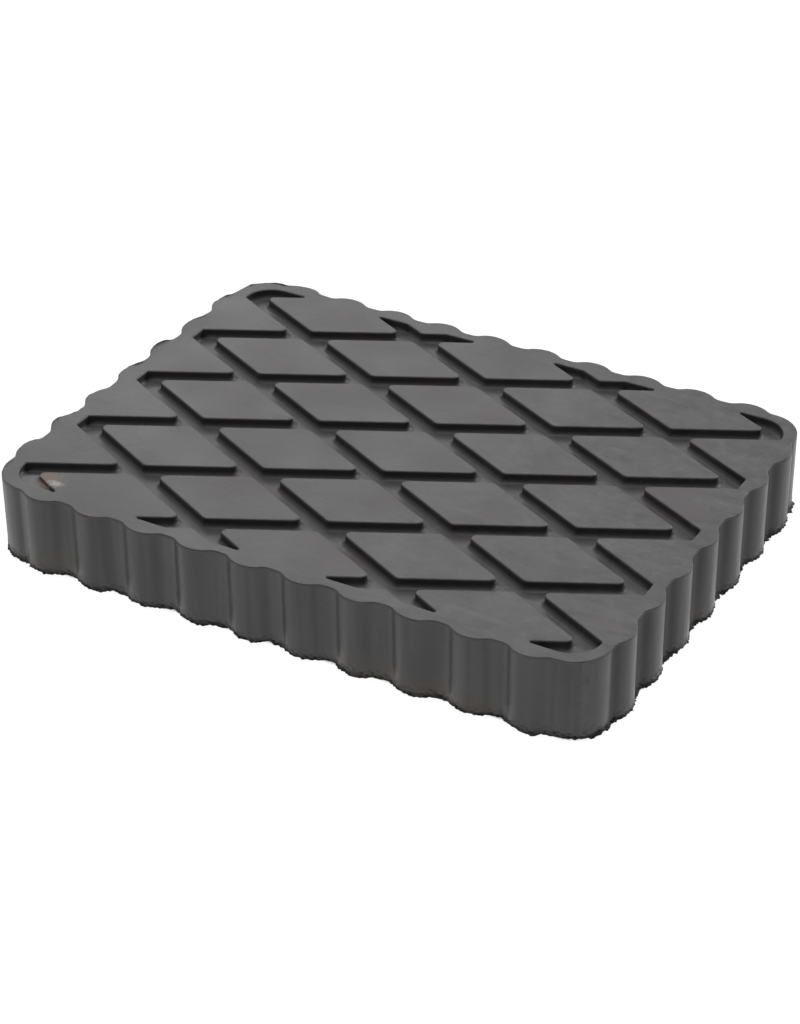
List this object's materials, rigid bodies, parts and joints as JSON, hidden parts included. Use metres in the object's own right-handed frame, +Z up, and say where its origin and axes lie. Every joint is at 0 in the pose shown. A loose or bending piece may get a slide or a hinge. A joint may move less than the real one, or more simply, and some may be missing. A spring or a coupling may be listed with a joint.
{
  "type": "snowboard stomp pad",
  "caption": "Thick rectangular rubber traction pad with a scalloped edge, a recessed tread of raised diamonds and a self-adhesive foam backing under a split release liner.",
  "frame": {"origin": "centre of the footprint, on the surface that the pad stands on", "axes": "+X along the long side, +Y along the short side, +Z up through the tread"},
  "size_m": [0.16, 0.12, 0.0204],
  "materials": {
    "tread_rubber": "matt moulded rubber, faintly mottled",
    "adhesive": "tacky clear acrylic coat",
    "foam": "closed-cell acrylic foam",
    "liner_paper": "siliconised kraft paper, satin"
  },
  "bodies": {
    "pad": {"tread_pad": "tread_rubber", "upper_adhesive": "adhesive", "foam_carrier": "foam", "lower_adhesive": "adhesive"},
    "liner_left": {"release_liner_left": "liner_paper"},
    "liner_right": {"release_liner_right": "liner_paper"}
  },
  "joints": [
    {"name": "liner_left_pull", "type": "slide", "parent": "pad", "child": "liner_left", "axis": [-1, 0, 0], "range_m": [0, 0.09]},
    {"name": "liner_right_pull", "type": "slide", "parent": "pad", "child": "liner_right", "axis": [1, 0, 0], "range_m": [0, 0.09]}
  ]
}
